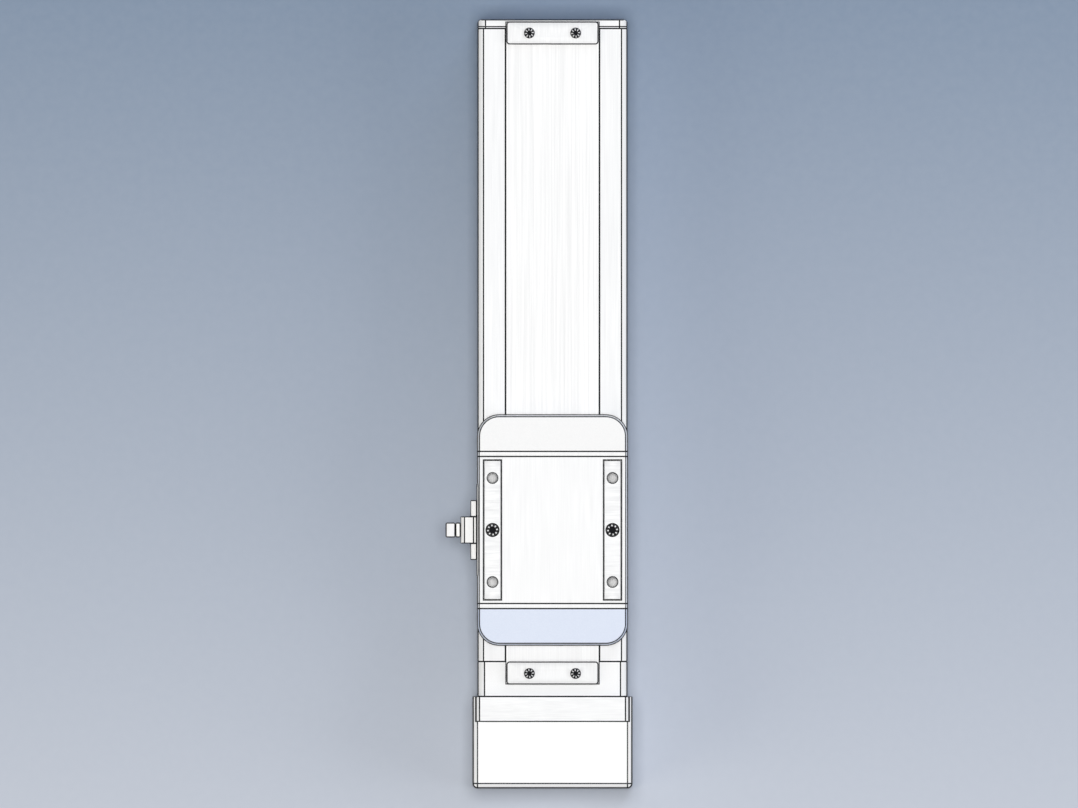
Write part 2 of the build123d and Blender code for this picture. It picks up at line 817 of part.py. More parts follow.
with BuildPart() as retaining_ring:
    with BuildSketch(across(clip_face, 1)):
        with Locations((0, screw_height)):
            Circle(clip_diameter / 2)
            Circle(support_journal / 2 + fit_clearance, mode=Mode.SUBTRACT)
            with Locations((0, -clip_diameter / 2)):
                Rectangle(clip_gap, clip_diameter / 2, mode=Mode.SUBTRACT)
    extrude(amount=clip_thickness)
save(retaining_ring, "retaining_ring")

with BuildPart() as motor_rotor:
    with BuildSketch(across(rotor_front)):
        with Locations((0, screw_height)):
            Circle(rotor_diameter / 2)
            with PolarLocations(rotor_diameter / 2, rotor_poles):
                Rectangle(2 * rotor_groove, rotor_groove, mode=Mode.SUBTRACT)
            Circle(motor_journal / 2 + fit_clearance, mode=Mode.SUBTRACT)
    extrude(amount=rotor_length)
save(motor_rotor, "motor_rotor")

with BuildPart() as encoder_magnet:
    with BuildSketch(across(shaft_end)):
        with Locations((0, screw_height)):
            Circle(encoder_magnet_diameter / 2)
    extrude(amount=encoder_magnet_length)
save(encoder_magnet, "encoder_magnet")


# Carriage, nut and guide blocks

block_columns = spaced(0, rail_spacing, 2)
block_rows = spaced(slider_home, 2 * block_place, 2)
block_screw_spots = [(x, y) for column in block_columns for x in spaced(column, block_screw_pitch, 2)
                     for row in block_rows for y in spaced(row, block_screw_row, 2)]
pad_hole_spots = [(x, y) for x in spaced(0, pad_spacing, 2)
                  for y in spaced(slider_home, pad_hole_spacing, 2)]
pad_screw_spots = both_hands(pad_spacing / 2, slider_home)
cap_screw_spots = both_hands(pad_spacing / 2, flange_middle)
nut_face = slider_home - wing_length / 2
nut_screw_spots = [(nut_screw_circle / 2 * math.cos(math.radians(angle)),
                    screw_height + nut_screw_circle / 2 * math.sin(math.radians(angle)))
                   for angle in nut_screw_angles]

with BuildPart() as carriage:
    with BuildSketch(across(slider_home)):
        with Locations((0, block_top)):
            Rectangle(wing_width, wing_thickness, align=(Align.CENTER, Align.MIN))
            Rectangle(neck_width, neck_start - block_top, align=(Align.CENTER, Align.MIN))
    extrude(amount=wing_length / 2, both=True)
    with BuildSketch(across(slider_home)):
        with Locations((0, neck_start)):
            Rectangle(neck_width, flange_base - neck_start, align=(Align.CENTER, Align.MIN))
        with Locations((0, flange_base)):
            Rectangle(flange_width, flange_thickness, align=(Align.CENTER, Align.MIN))
    extrude(amount=cover_length / 2, both=True)
    drill(across(nut_face), [(0, screw_height)], nut_diameter + 4 * fit_clearance, wing_length)
    drill(across(nut_face), nut_screw_spots, m4_head[2] + 2 * shank_clearance, thread_reach + head_sink)
    drill(level(wing_top), block_screw_spots, m3_head[2] + 2 * shank_clearance, wing_thickness)
    drill(level(neck_start), block_screw_spots, m3_head[0] + 2 * head_clearance,
          neck_start - wing_top + m3_head[1] + head_sink)
    drill(level(flange_top), pad_hole_spots, pad_hole_diameter, flange_thickness)
    drill(level(flange_top), pad_screw_spots, m5_head[2] + 2 * shank_clearance, flange_thickness)
    for hand in (-1, 1):
        drill(across(slider_home + hand * cover_length / 2, hand), cap_screw_spots,
              m3_head[2] + 2 * shank_clearance, thread_reach + head_sink)
save(carriage, "carriage")

with BuildPart() as ball_nut:
    with BuildSketch(across(nut_face)):
        with Locations((0, screw_height)):
            Circle(nut_flange_diameter / 2)
            Rectangle(nut_flange_diameter, nut_flange_flats, mode=Mode.INTERSECT)
    extrude(amount=nut_flange_length)
    with BuildSketch(across(nut_face)):
        with Locations((0, screw_height)):
            Circle(nut_diameter / 2)
    extrude(amount=-nut_body_length)
    drill(across(nut_face - nut_flange_length), [(0, screw_height)], thread_diameter + 2 * running_clearance,
          nut_flange_length + nut_body_length)
    drill(across(nut_face - nut_flange_length), nut_screw_spots, m4_head[2] + 2 * shank_clearance,
          nut_flange_length)
    drill(across(nut_face - nut_flange_length), nut_screw_spots, m4_head[0] + 2 * head_clearance,
          m4_head[1] + head_sink)
save(ball_nut, "ball_nut")

nut_seat = nut_face - nut_flange_length + m4_head[1] + head_sink
nut_screws = socket_screws(across(nut_seat), nut_screw_spots, m4_head, nut_face - nut_seat + thread_reach)
save(nut_screws, "nut_screws")


def block_section(inset):
    # Cross-section of a guide block astride its rail, around the rail's centre line
    with BuildSketch() as section:
        with Locations((0, block_base + inset)):
            Rectangle(block_width - 2 * inset, block_height - 2 * inset, align=(Align.CENTER, Align.MIN))
        with Locations((0, floor_height)):
            Rectangle(rail_width + 2 * block_clearance, rail_height + block_clearance,
                      align=(Align.CENTER, Align.MIN), mode=Mode.SUBTRACT)
    return section.sketch


def make_guide_block(x, y):
    with BuildPart() as guide_block:
        with BuildSketch(across(y)):
            with Locations((x, 0)):
                add(block_section(0))
        extrude(amount=block_body_length / 2, both=True)
        spots = [(column, row) for column in spaced(x, block_screw_pitch, 2)
                 for row in spaced(y, block_screw_row, 2)]
        drill(level(block_top), spots, m3_head[2] + 2 * shank_clearance, thread_reach / 2 + head_sink)
    return guide_block


for row, y in zip(("near", "far"), block_rows):
    for column, x in zip(("left", "right"), block_columns):
        save(make_guide_block(x, y), f"guide_block_{row}_{column}")

with BuildPart() as guide_block_seals:
    for x in block_columns:
        for y in block_rows:
            for seal in spaced(y, block_body_length + block_seal_length, 2):
                with BuildSketch(across(seal)):
                    with Locations((x, 0)):
                        add(block_section(block_seal_inset))
                extrude(amount=block_seal_length / 2, both=True)
save(guide_block_seals, "guide_block_seals")

block_screw_seat = wing_top - m3_head[1] - head_sink
guide_block_screws = socket_screws(
    level(block_screw_seat), block_screw_spots, m3_head, block_screw_seat - block_top + thread_reach / 2)
save(guide_block_screws, "guide_block_screws")

with BuildPart() as bumpers:
    with BuildSketch(across(near_end, 1)):
        with Locations(*both_hands(bumper_spacing / 2, block_top + wing_thickness / 2)):
            Circle(bumper_diameter / 2)
    extrude(amount=slider_home - overtravel - wing_length / 2 - bumper_gap - near_end)
    with BuildSketch(across(far_block_front)):
        with Locations(*both_hands(bumper_spacing / 2, block_top + wing_thickness / 2)):
            Circle(bumper_diameter / 2)
    extrude(amount=far_block_front - slider_home - stroke - overtravel - wing_length / 2 - bumper_gap)
save(bumpers, "bumpers")


# Slider cover, pads, plates and caps

pad_middles = both_hands(pad_spacing / 2, slider_home)

with BuildPart() as slider_cover:
    add(slider_form())
    slider_slice(-cover_length / 2, cover_length / 2)
    add(slider_form(inset=cover_wall, roof=cover_roof), mode=Mode.SUBTRACT)
    with BuildSketch(level(slider_top)):
        with Locations(*pad_middles):
            Rectangle(pad_width + 2 * pad_gap, pad_length + 2 * pad_gap)
    extrude(amount=-cover_roof, mode=Mode.SUBTRACT)
save(slider_cover, "slider_cover")


def make_pad(hand):
    middle = [(hand * pad_spacing / 2, slider_home)]
    with BuildPart() as pad:
        with BuildSketch(level(flange_top)):
            with Locations(*middle):
                Rectangle(pad_width, pad_length)
        extrude(amount=pad_top - flange_top)
        spots = [spot for spot in pad_hole_spots if spot[0] * hand > 0]
        drill(level(pad_top), spots, pad_hole_diameter, pad_top - flange_top)
        rims = pad.edges().filter_by(GeomType.CIRCLE).group_by(Axis.Z)[-1]
        chamfer(rims, pad_hole_chamfer)
        drill(level(pad_top), middle, m5_head[2] + 2 * shank_clearance, pad_top - flange_top)
        drill(level(pad_top), middle, m5_head[0] + 2 * head_clearance, m5_head[1] + head_sink)
    return pad


save(make_pad(-1), "left_pad")
save(make_pad(1), "right_pad")

pad_seat = pad_top - m5_head[1] - head_sink
pad_screws = socket_screws(level(pad_seat), pad_screw_spots, m5_head, pad_seat - flange_base)
save(pad_screws, "pad_screws")


def make_seal_plate(hand):
    near, far = sorted((hand * cover_length / 2, hand * (cover_length / 2 + seal_plate_length)))
    with BuildPart() as plate:
        add(slider_form())
        slider_slice(near, far)
        with BuildSketch(across(slider_home + far)):
            with Locations((0, slider_base)):
                Rectangle(window_width, slider_height - window_roof, align=(Align.CENTER, Align.MIN))
        extrude(amount=seal_plate_length, mode=Mode.SUBTRACT)
        drill(across(slider_home + near), cap_screw_spots, m3_head[2] + 2 * shank_clearance,
              seal_plate_length)
    return plate


save(make_seal_plate(-1), "near_seal_plate")
save(make_seal_plate(1), "far_seal_plate")


def make_slider_cap(hand):
    seam = cover_length / 2 + seal_plate_length
    mouth = slider_home + hand * slider_length / 2
    near, far = sorted((hand * seam, hand * slider_length))
    with BuildPart() as cap:
        add(slider_form(top_radius=cap_top_radius))
        slider_slice(near, far)
        add(slider_form(inset=cap_wall, roof=cap_wall), mode=Mode.SUBTRACT)
        with BuildSketch(across(slider_home + hand * seam, hand)):
            with Locations(*cap_screw_spots):
                Circle(cap_boss_diameter / 2)
        extrude(amount=cap_length - cap_wall)
        drill(across(mouth, hand), cap_screw_spots, m3_head[2] + 2 * shank_clearance, cap_length)
        drill(across(mouth, hand), cap_screw_spots, m3_head[0] + 2 * head_clearance, cap_screw_sink)
    return cap


save(make_slider_cap(-1), "near_slider_cap")
save(make_slider_cap(1), "far_slider_cap")

cap_seat = slider_length / 2 - cap_screw_sink
cap_screw_length = cap_seat - cover_length / 2 + thread_reach

with BuildPart() as slider_cap_screws:
    for hand in (-1, 1):
        seat = across(slider_home + hand * cap_seat, hand)
        add(socket_screws(seat, cap_screw_spots, m3_head, cap_screw_length).part)
save(slider_cap_screws, "slider_cap_screws")


# Cover strip, its clamps, guides and wipers

clamp_top = base_height + strip_thickness + clamp_thickness
clamp_screw_length = clamp_top - base_height + thread_reach


def make_clamp(middle, screws):
    with BuildPart() as clamp:
        with BuildSketch(level(clamp_top)):
            with Locations((0, middle)):
                RectangleRounded(clamp_width, clamp_length, clamp_corner)
        extrude(amount=-clamp_thickness)
        drill(level(clamp_top), screws, m4_button[2] + 2 * shank_clearance, clamp_thickness)
    return clamp


save(make_clamp(near_clamp_center, clamp_spots), "near_strip_clamp")
save(make_clamp(far_clamp_center, far_clamp_spots), "far_strip_clamp")

clamp_screws = socket_screws(
    level(clamp_top), clamp_spots + far_clamp_spots, m4_button, clamp_screw_length, button_radius)
save(clamp_screws, "clamp_screws")


def make_flat_strip(start, end, holes):
    with BuildPart() as strip:
        with BuildSketch(level(base_height)):
            with Locations((0, start)):
                Rectangle(strip_width, end - start, align=(Align.CENTER, Align.MIN))
        extrude(amount=strip_thickness)
        drill(level(base_height + strip_thickness), holes, m4_button[2] + 2 * shank_clearance,
              strip_thickness)
    return strip


save(make_flat_strip(strip_near_end, slider_near_end, clamp_spots), "near_strip")
save(make_flat_strip(slider_far_end, strip_far_end, far_clamp_spots), "far_strip")

with BuildPart() as lifted_strip:
    with BuildSketch(Plane.YZ):
        with BuildLine():
            near_foot, near_crest = strip_ramp(-1)
            far_foot, far_crest = strip_ramp(1)
            Line(near_crest, far_crest)
            Line((slider_near_end, base_height), near_foot)
            Line((slider_far_end, base_height), far_foot)
            near_foot, near_crest = strip_ramp(-1, -strip_thickness)
            far_foot, far_crest = strip_ramp(1, -strip_thickness)
            Line(near_crest, far_crest)
            Line((slider_near_end, base_height + strip_thickness), near_foot)
            Line((slider_far_end, base_height + strip_thickness), far_foot)
            for end in (slider_near_end, slider_far_end):
                Line((end, base_height), (end, base_height + strip_thickness))
        make_face()
    extrude(amount=strip_width / 2, both=True)
save(lifted_strip, "lifted_strip")

with BuildPart() as strip_guides:
    for hand in (-1, 1):
        with BuildSketch(Plane.YZ):
            with BuildLine():
                foot, crest = strip_ramp(hand, guide_gap)
                Polyline(crest, (crest[0], foot[1]), foot)
            make_face()
        extrude(amount=neck_width / 2, both=True)
    split(bisect_by=level(base_height + guide_lift), keep=Keep.TOP)
save(strip_guides, "strip_guides")

with BuildPart() as strip_wipers:
    for hand in (-1, 1):
        inner = slider_home + hand * (slider_length / 2 - cap_wall - wiper_seat_gap)
        with BuildSketch(across(inner, -hand)):
            with Locations((0, base_height + strip_thickness + wiper_gap)):
                Rectangle(wiper_width, wiper_height, align=(Align.CENTER, Align.MIN))
        extrude(amount=wiper_thickness)
save(strip_wipers, "strip_wipers")


# Lubrication port

port_spot = (-slider_home, port_height)

with BuildPart() as port_plate:
    with BuildSketch(beside(port_wall, -1)):
        with Locations(port_spot):
            SlotOverall(port_plate_length, port_plate_height)
    extrude(amount=-port_plate_stand_out - cover_wall)
    add(slider_form(), mode=Mode.SUBTRACT)
save(port_plate, "port_plate")

port_screw_spots = [(port_spot[0] + step, port_height) for step in spaced(0, port_screw_spacing, 2)]

with BuildPart() as port_body:
    with BuildSketch(beside(port_wall, -1)):
        with Locations(port_spot):
            Rectangle(port_body_width, port_body_height)
    extrude(amount=port_body_reach)
    fillet(port_body.faces().sort_by(Axis.X)[0].edges().filter_by(Axis.Y), port_body_radius)
    with BuildSketch(beside(port_wall, -1)):
        with Locations(port_spot):
            Rectangle(port_body_width, port_body_height + 2 * port_collar_step)
    extrude(amount=port_collar_reach)
    with BuildSketch(beside(port_wall, -1)):
        with Locations(port_spot):
            RectangleRounded(port_flange_length, port_plate_height, port_flange_corner)
    extrude(amount=port_flange_thickness)
    flange_face = beside(port_wall + port_flange_thickness, -1)
    drill(flange_face, port_screw_spots, m3_head[2] + 2 * shank_clearance, port_flange_thickness)
    sink(flange_face, port_screw_spots, m3_head)
save(port_body, "port_body")

port_screws = flat_screws(
    beside(port_wall + port_flange_thickness, -1), port_screw_spots, m3_head, port_flange_thickness)
save(port_screws, "port_screws")

with BuildPart() as grease_nipple:
    with BuildSketch(beside(nipple_face, -1)):
        with Locations(port_spot):
            RectangleRounded(nipple_width, nipple_width, nipple_corner)
    extrude(amount=nipple_length)
    with BuildSketch(beside(nipple_face + nipple_length, -1)):
        with Locations(port_spot):
            Circle(nipple_stem / 2)
    extrude(amount=nipple_stem_length)
save(grease_nipple, "grease_nipple")

with BuildPart() as nipple_cap:
    with BuildSketch(beside(nipple_face + nipple_length, -1)):
        with Locations(port_spot):
            RectangleRounded(nipple_width, nipple_width, nipple_corner)
    extrude(amount=nipple_cap_length)
    with BuildSketch(beside(nipple_face + nipple_length, -1)):
        with Locations(port_spot):
            Circle(nipple_stem / 2 + nipple_cap_gap)
    extrude(amount=nipple_stem_length + nipple_cap_gap, mode=Mode.SUBTRACT)
save(nipple_cap, "nipple_cap")
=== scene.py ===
import bmesh
import bpy
import math
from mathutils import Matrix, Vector


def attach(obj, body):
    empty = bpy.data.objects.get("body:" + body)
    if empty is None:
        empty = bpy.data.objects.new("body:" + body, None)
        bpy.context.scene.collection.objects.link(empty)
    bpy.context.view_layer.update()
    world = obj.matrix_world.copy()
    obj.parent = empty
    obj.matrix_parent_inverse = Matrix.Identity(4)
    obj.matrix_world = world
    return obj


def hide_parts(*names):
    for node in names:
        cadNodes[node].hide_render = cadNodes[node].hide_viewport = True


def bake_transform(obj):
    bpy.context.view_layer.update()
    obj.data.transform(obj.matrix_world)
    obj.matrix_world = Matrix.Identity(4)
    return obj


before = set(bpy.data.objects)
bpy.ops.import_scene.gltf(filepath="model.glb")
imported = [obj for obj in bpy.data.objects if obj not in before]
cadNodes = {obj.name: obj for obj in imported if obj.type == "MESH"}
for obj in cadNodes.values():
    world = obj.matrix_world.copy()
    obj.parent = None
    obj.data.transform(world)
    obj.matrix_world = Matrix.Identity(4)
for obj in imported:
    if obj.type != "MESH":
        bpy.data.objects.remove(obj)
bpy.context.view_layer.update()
mm = 0.001
print("frame loaded:", len(cadNodes), "nodes")


# Camera: straight down on the axis. One picture pixel shows 0.7 mm of the real thing.
cameraPlan = {
    "pixelSize": 0.7 * mm,
    "pictureWidth": 1078,
    "centre": (-9.45 * mm, -41.3 * mm),
    "height": 1.2,
}


def makeCamera(plan):
    cameraData = bpy.data.cameras.new("topCamera")
    cameraData.type = "ORTHO"
    cameraData.ortho_scale = plan["pixelSize"] * plan["pictureWidth"]
    camera = bpy.data.objects.new("topCamera", cameraData)
    bpy.context.scene.collection.objects.link(camera)
    camera.location = (*plan["centre"], plan["height"])
    bpy.context.scene.camera = camera


makeCamera(cameraPlan)
print("camera ready")


# Small helpers for material nodes
def addNode(tree, kind, **settings):
    node = tree.nodes.new(kind)
    for key, value in settings.items():
        setattr(node, key, value)
    return node


def feed(tree, socket, value):
    if isinstance(value, bpy.types.NodeSocket):
        tree.links.new(value, socket)
    else:
        socket.default_value = value


def calc(tree, operation, first, second=0.0):
    node = addNode(tree, "ShaderNodeMath", operation=operation)
    feed(tree, node.inputs[0], first)
    feed(tree, node.inputs[1], second)
    return node.outputs[0]


def noise(tree, place, cells, detail):
    mapping = addNode(tree, "ShaderNodeMapping")
    tree.links.new(place, mapping.inputs["Vector"])
    mapping.inputs["Scale"].default_value = cells
    texture = addNode(tree, "ShaderNodeTexNoise")
    tree.links.new(mapping.outputs["Vector"], texture.inputs["Vector"])
    texture.inputs["Scale"].default_value = 1.0
    texture.inputs["Detail"].default_value = detail
    return texture.outputs["Fac"]


def spread(tree, value, low, high, fromLow=0.3, fromHigh=0.7):
    # Noise is mostly between 0.3 and 0.7. Inputs 1 to 4 are From Min, From Max, To Min and To Max.
    node = addNode(tree, "ShaderNodeMapRange")
    feed(tree, node.inputs["Value"], value)
    for socket, number in zip(node.inputs[1:5], (fromLow, fromHigh, low, high)):
        socket.default_value = number
    return node.outputs["Result"]


def mixColours(tree, share, first, second):
    # Inputs 6 and 7 and output 2 are the colour sockets of a Mix node
    node = addNode(tree, "ShaderNodeMix", data_type="RGBA")
    feed(tree, node.inputs[0], share)
    feed(tree, node.inputs[6], first)
    feed(tree, node.inputs[7], second)
    return node.outputs[2]


# Fine dark lines lie where one coordinate is near a distance and another is beyond a limit.
# Axes 0, 1 and 2 are X, Y and Z, lengths are in millimetres, and both sides of the origin count.
def scribe(axis, at, width=0.95, whereAxis=2, beyond=0.0):
    return {
        "axis": axis, "at": at * mm, "width": width * mm,
        "whereAxis": whereAxis, "beyond": beyond * mm,
    }


def scribeMask(tree, place, scribes):
    split = addNode(tree, "ShaderNodeSeparateXYZ")
    tree.links.new(place, split.inputs[0])
    away = [calc(tree, "ABSOLUTE", split.outputs[axis]) for axis in range(3)]
    mask = 0.0
    for line in scribes:
        off = calc(tree, "ABSOLUTE", calc(tree, "SUBTRACT", away[line["axis"]], line["at"]))
        here = calc(tree, "LESS_THAN", off, line["width"] / 2)
        there = calc(tree, "GREATER_THAN", away[line["whereAxis"]], line["beyond"])
        mask = calc(tree, "MAXIMUM", mask, calc(tree, "MULTIPLY", here, there))
    return mask


lineColour = (0.010, 0.011, 0.014, 1)
# What a finish has unless its own plan says otherwise. Scribe depth is in heights of the grain.
finishBasics = {
    "grainDetail": 4.0, "cloudCells": (14, 14, 14), "cloudDetail": 3.0, "cloudShare": 0.4,
    "metallic": 0.0, "specular": 0.4, "coat": 0.0, "bumpStrength": 0.5,
    "scribes": (), "scribeDepth": 3.0, "scribeRoughness": 0.9,
}


def makeFinish(name, ownPlan):
    # Grain runs through the colour, the gloss and the relief; scribed lines come on top
    plan = {**finishBasics, **ownPlan}
    material = bpy.data.materials.new(name)
    material.use_nodes = True
    tree = material.node_tree
    shader = tree.nodes["Principled BSDF"]
    place = addNode(tree, "ShaderNodeTexCoord").outputs["Object"]
    grain = noise(tree, place, plan["grain"], plan["grainDetail"])
    cloud = noise(tree, place, plan["cloudCells"], plan["cloudDetail"])
    colour = mixColours(tree, spread(tree, grain, 0, 1), plan["colour"], plan["tint"])
    cloudShare = spread(tree, cloud, 0, plan["cloudShare"])
    colour = mixColours(tree, cloudShare, colour, plan["tint"])
    height = grain
    gloss = spread(tree, grain, *plan["roughness"])
    if plan["scribes"]:
        mask = scribeMask(tree, place, plan["scribes"])
        colour = mixColours(tree, mask, colour, lineColour)
        height = calc(tree, "SUBTRACT", grain, calc(tree, "MULTIPLY", mask, plan["scribeDepth"]))
        gloss = calc(tree, "MAXIMUM", gloss, calc(tree, "MULTIPLY", mask, plan["scribeRoughness"]))
    tree.links.new(colour, shader.inputs["Base Color"])
    tree.links.new(gloss, shader.inputs["Roughness"])
    shader.inputs["Metallic"].default_value = plan["metallic"]
    shader.inputs["Specular IOR Level"].default_value = plan["specular"]
    shader.inputs["Coat Weight"].default_value = plan["coat"]
    bump = addNode(tree, "ShaderNodeBump")
    bump.inputs["Strength"].default_value = plan["bumpStrength"]
    bump.inputs["Distance"].default_value = plan["depth"] * mm
    tree.links.new(height, bump.inputs["Height"])
    tree.links.new(bump.outputs["Normal"], shader.inputs["Normal"])
    return material


whiteTone = (0.905, 0.902, 0.9, 1)
blastedAluminium = {
    "colour": whiteTone, "tint": (0.845, 0.845, 0.848, 1), "grain": (2400, 2400, 2400),
    "depth": 0.05, "roughness": (0.44, 0.6), "metallic": 0.08,
}
sliderCapRim = scribe(2, 76.1, 1.55)
nippleSides = [scribe(1, 134.35, 0.8, 2, 70.8), scribe(1, 124.65, 0.8, 2, 70.8)]

# Finishes. Grain gives the noise cells per metre along X, Y and Z; depth is in millimetres.
finishPlans = {
    "extrudedAluminium": {
        "colour": (0.915, 0.915, 0.915, 1), "tint": (0.855, 0.857, 0.862, 1),
        "grain": (2600, 22, 2600), "depth": 0.03, "roughness": (0.46, 0.6), "metallic": 0.06,
        "scribes": [
            scribe(0, 48.3, beyond=61.5), scribe(2, 59.05, 2.5), scribe(0, 33.0, beyond=61.5),
        ],
    },
    "blastedBlock": {
        **blastedAluminium,
        "scribes": [scribe(0, 47.6, beyond=61.5), scribe(2, 58.45, 2.7, 0, 51.4)],
    },
    "blastedCap": {
        **blastedAluminium,
        "scribes": [
            scribe(0, 46.9, beyond=61.5), scribe(1, 227.55, 0.8, 2, 61.2),
            scribe(2, 57.85, 2.9, 0, 51.5),
        ],
    },
    "milledPlate": {
        "colour": (0.885, 0.885, 0.885, 1), "tint": (0.82, 0.822, 0.828, 1),
        "grain": (90, 2200, 90), "depth": 0.03, "roughness": (0.44, 0.58), "metallic": 0.08,
        "scribes": [scribe(0, 51.1, beyond=71.5), scribe(2, 70.4, 2.0, 0, 53.0)],
    },
    "hoodPaint": {
        "colour": whiteTone, "tint": (0.86, 0.858, 0.86, 1), "grain": (900, 900, 900),
        "depth": 0.09, "roughness": (0.4, 0.55), "coat": 0.1,
        "scribes": [
            scribe(0, 52.5, beyond=67.3), scribe(1, 306.95, beyond=67.3), scribe(2, 68.25, 2.3),
        ],
    },
    "sliderCover": {
        "colour": (0.915, 0.913, 0.912, 1), "tint": (0.86, 0.86, 0.863, 1),
        "grain": (2400, 30, 2400), "depth": 0.02, "roughness": (0.46, 0.58), "metallic": 0.06,
    },
    "padMilled": {
        "colour": (0.83, 0.83, 0.83, 1), "tint": (0.75, 0.752, 0.758, 1), "grain": (60, 1800, 60),
        "depth": 0.03, "roughness": (0.42, 0.54), "metallic": 0.1,
    },
    "farCapPlastic": {
        "colour": (0.94, 0.935, 0.93, 1), "tint": (0.9, 0.897, 0.895, 1),
        "grain": (1500, 1500, 1500), "depth": 0.08, "roughness": (0.48, 0.62),
        "scribes": [sliderCapRim, scribe(1, 74.4, 0.8)],
    },
    # Painted shade: the near cap is the far cap's mirror twin, and its pale blue is the shade its
    # top shows in the light, painted into its colour.
    "nearCapPlasticBlueShade": {
        "colour": (0.74, 0.795, 0.915, 1), "tint": (0.7, 0.755, 0.885, 1),
        "grain": (1500, 1500, 1500), "depth": 0.08, "roughness": (0.48, 0.62),
        "scribes": [sliderCapRim, scribe(1, 184.6, 0.8)],
    },
    "clampMetal": {
        "colour": (0.84, 0.84, 0.84, 1), "tint": (0.775, 0.777, 0.782, 1), "grain": (1800, 60, 60),
        "depth": 0.03, "roughness": (0.42, 0.54), "metallic": 0.1,
    },
    "stripSteel": {
        "colour": (0.825, 0.823, 0.82, 1), "tint": (0.75, 0.75, 0.752, 1),
        "grain": (3200, 9, 3200), "depth": 0.012, "roughness": (0.42, 0.54), "metallic": 0.12,
    },
    "screwSteel": {
        "colour": (0.02, 0.02, 0.022, 1), "tint": (0.01, 0.01, 0.011, 1),
        "grain": (1500, 1500, 1500), "depth": 0.03, "roughness": (0.4, 0.55),
        "metallic": 0.25, "specular": 0.25,
    },
    # Painted glints: bright steel put on regular patches of the screw heads, standing in for light
    # catching them.
    "paintedGlintSteel": {
        "colour": (0.78, 0.78, 0.785, 1), "tint": (0.62, 0.62, 0.63, 1),
        "grain": (1800, 1800, 1800), "depth": 0.03, "roughness": (0.38, 0.5), "metallic": 0.14,
    },
    "railSteel": {
        "colour": (0.55, 0.56, 0.57, 1), "tint": (0.42, 0.43, 0.45, 1), "grain": (1800, 20, 1800),
        "depth": 0.02, "roughness": (0.18, 0.34), "metallic": 1.0,
    },
    "groundSteel": {
        "colour": (0.58, 0.59, 0.6, 1), "tint": (0.46, 0.47, 0.49, 1), "grain": (60, 1600, 60),
        "depth": 0.015, "roughness": (0.12, 0.28), "metallic": 1.0,
    },
    "sealPlastic": {
        "colour": (0.03, 0.11, 0.07, 1), "tint": (0.02, 0.07, 0.05, 1),
        "grain": (1100, 1100, 1100), "depth": 0.05, "roughness": (0.45, 0.6),
    },
    "blackRubber": {
        "colour": (0.012, 0.012, 0.012, 1), "tint": (0.022, 0.022, 0.022, 1),
        "grain": (1400, 1400, 1400), "depth": 0.08, "roughness": (0.7, 0.9), "specular": 0.15,
    },
    "magnetCompound": {
        "colour": (0.03, 0.03, 0.034, 1), "tint": (0.05, 0.05, 0.055, 1),
        "grain": (2000, 60, 2000), "depth": 0.03, "roughness": (0.5, 0.7),
    },
    "motorIron": {
        "colour": (0.13, 0.135, 0.15, 1), "tint": (0.06, 0.063, 0.07, 1), "grain": (30, 3000, 30),
        "depth": 0.08, "roughness": (0.35, 0.55), "metallic": 0.9,
    },
    "motorHousing": {
        "colour": (0.6, 0.61, 0.62, 1), "tint": (0.48, 0.49, 0.5, 1), "grain": (40, 1500, 40),
        "depth": 0.04, "roughness": (0.28, 0.44), "metallic": 0.9,
    },
    "circuitBoard": {
        "colour": (0.012, 0.09, 0.035, 1), "tint": (0.03, 0.16, 0.07, 1), "grain": (420, 420, 420),
        "depth": 0.04, "roughness": (0.2, 0.35), "coat": 0.3,
    },
    "socketPlastic": {
        "colour": (0.022, 0.022, 0.025, 1), "tint": (0.04, 0.04, 0.044, 1),
        "grain": (1500, 1500, 1500), "depth": 0.06, "roughness": (0.4, 0.55),
    },
    "goldContact": {
        "colour": (0.83, 0.62, 0.25, 1), "tint": (0.7, 0.5, 0.18, 1), "grain": (900, 900, 900),
        "depth": 0.01, "roughness": (0.15, 0.28), "metallic": 1.0,
    },
    "portMetal": {
        "colour": (0.92, 0.915, 0.905, 1), "tint": (0.855, 0.85, 0.835, 1),
        "grain": (1900, 1900, 120), "depth": 0.03, "roughness": (0.44, 0.58), "metallic": 0.06,
        "scribes": [
            scribe(0, 61.6, 0.9, 2, 72.3), scribe(2, 70.45, 1.2, 0, 64.0),
            scribe(1, 150.2, 0.8, 2, 69.2), scribe(1, 108.8, 0.8, 2, 69.2),
            scribe(1, 138.65, 0.7, 2, 71.8), scribe(1, 120.35, 0.7, 2, 71.8),
        ],
    },
    "nickelFitting": {
        "colour": (0.9, 0.89, 0.86, 1), "tint": (0.84, 0.828, 0.79, 1), "grain": (700, 1600, 700),
        "depth": 0.02, "roughness": (0.38, 0.48), "metallic": 0.14, "scribes": nippleSides,
    },
    "capPlastic": {
        "colour": (0.93, 0.925, 0.92, 1), "tint": (0.885, 0.88, 0.878, 1),
        "grain": (1300, 1300, 1300), "depth": 0.06, "roughness": (0.42, 0.56),
        "scribes": nippleSides,
    },
    "edgeLine": {
        "colour": lineColour, "tint": (0.016, 0.017, 0.02, 1), "grain": (1200, 1200, 1200),
        "depth": 0.02, "roughness": (0.6, 0.8), "specular": 0.1,
    },
}
finishes = {name: makeFinish(name, plan) for name, plan in finishPlans.items()}
print("materials made:", len(finishes))


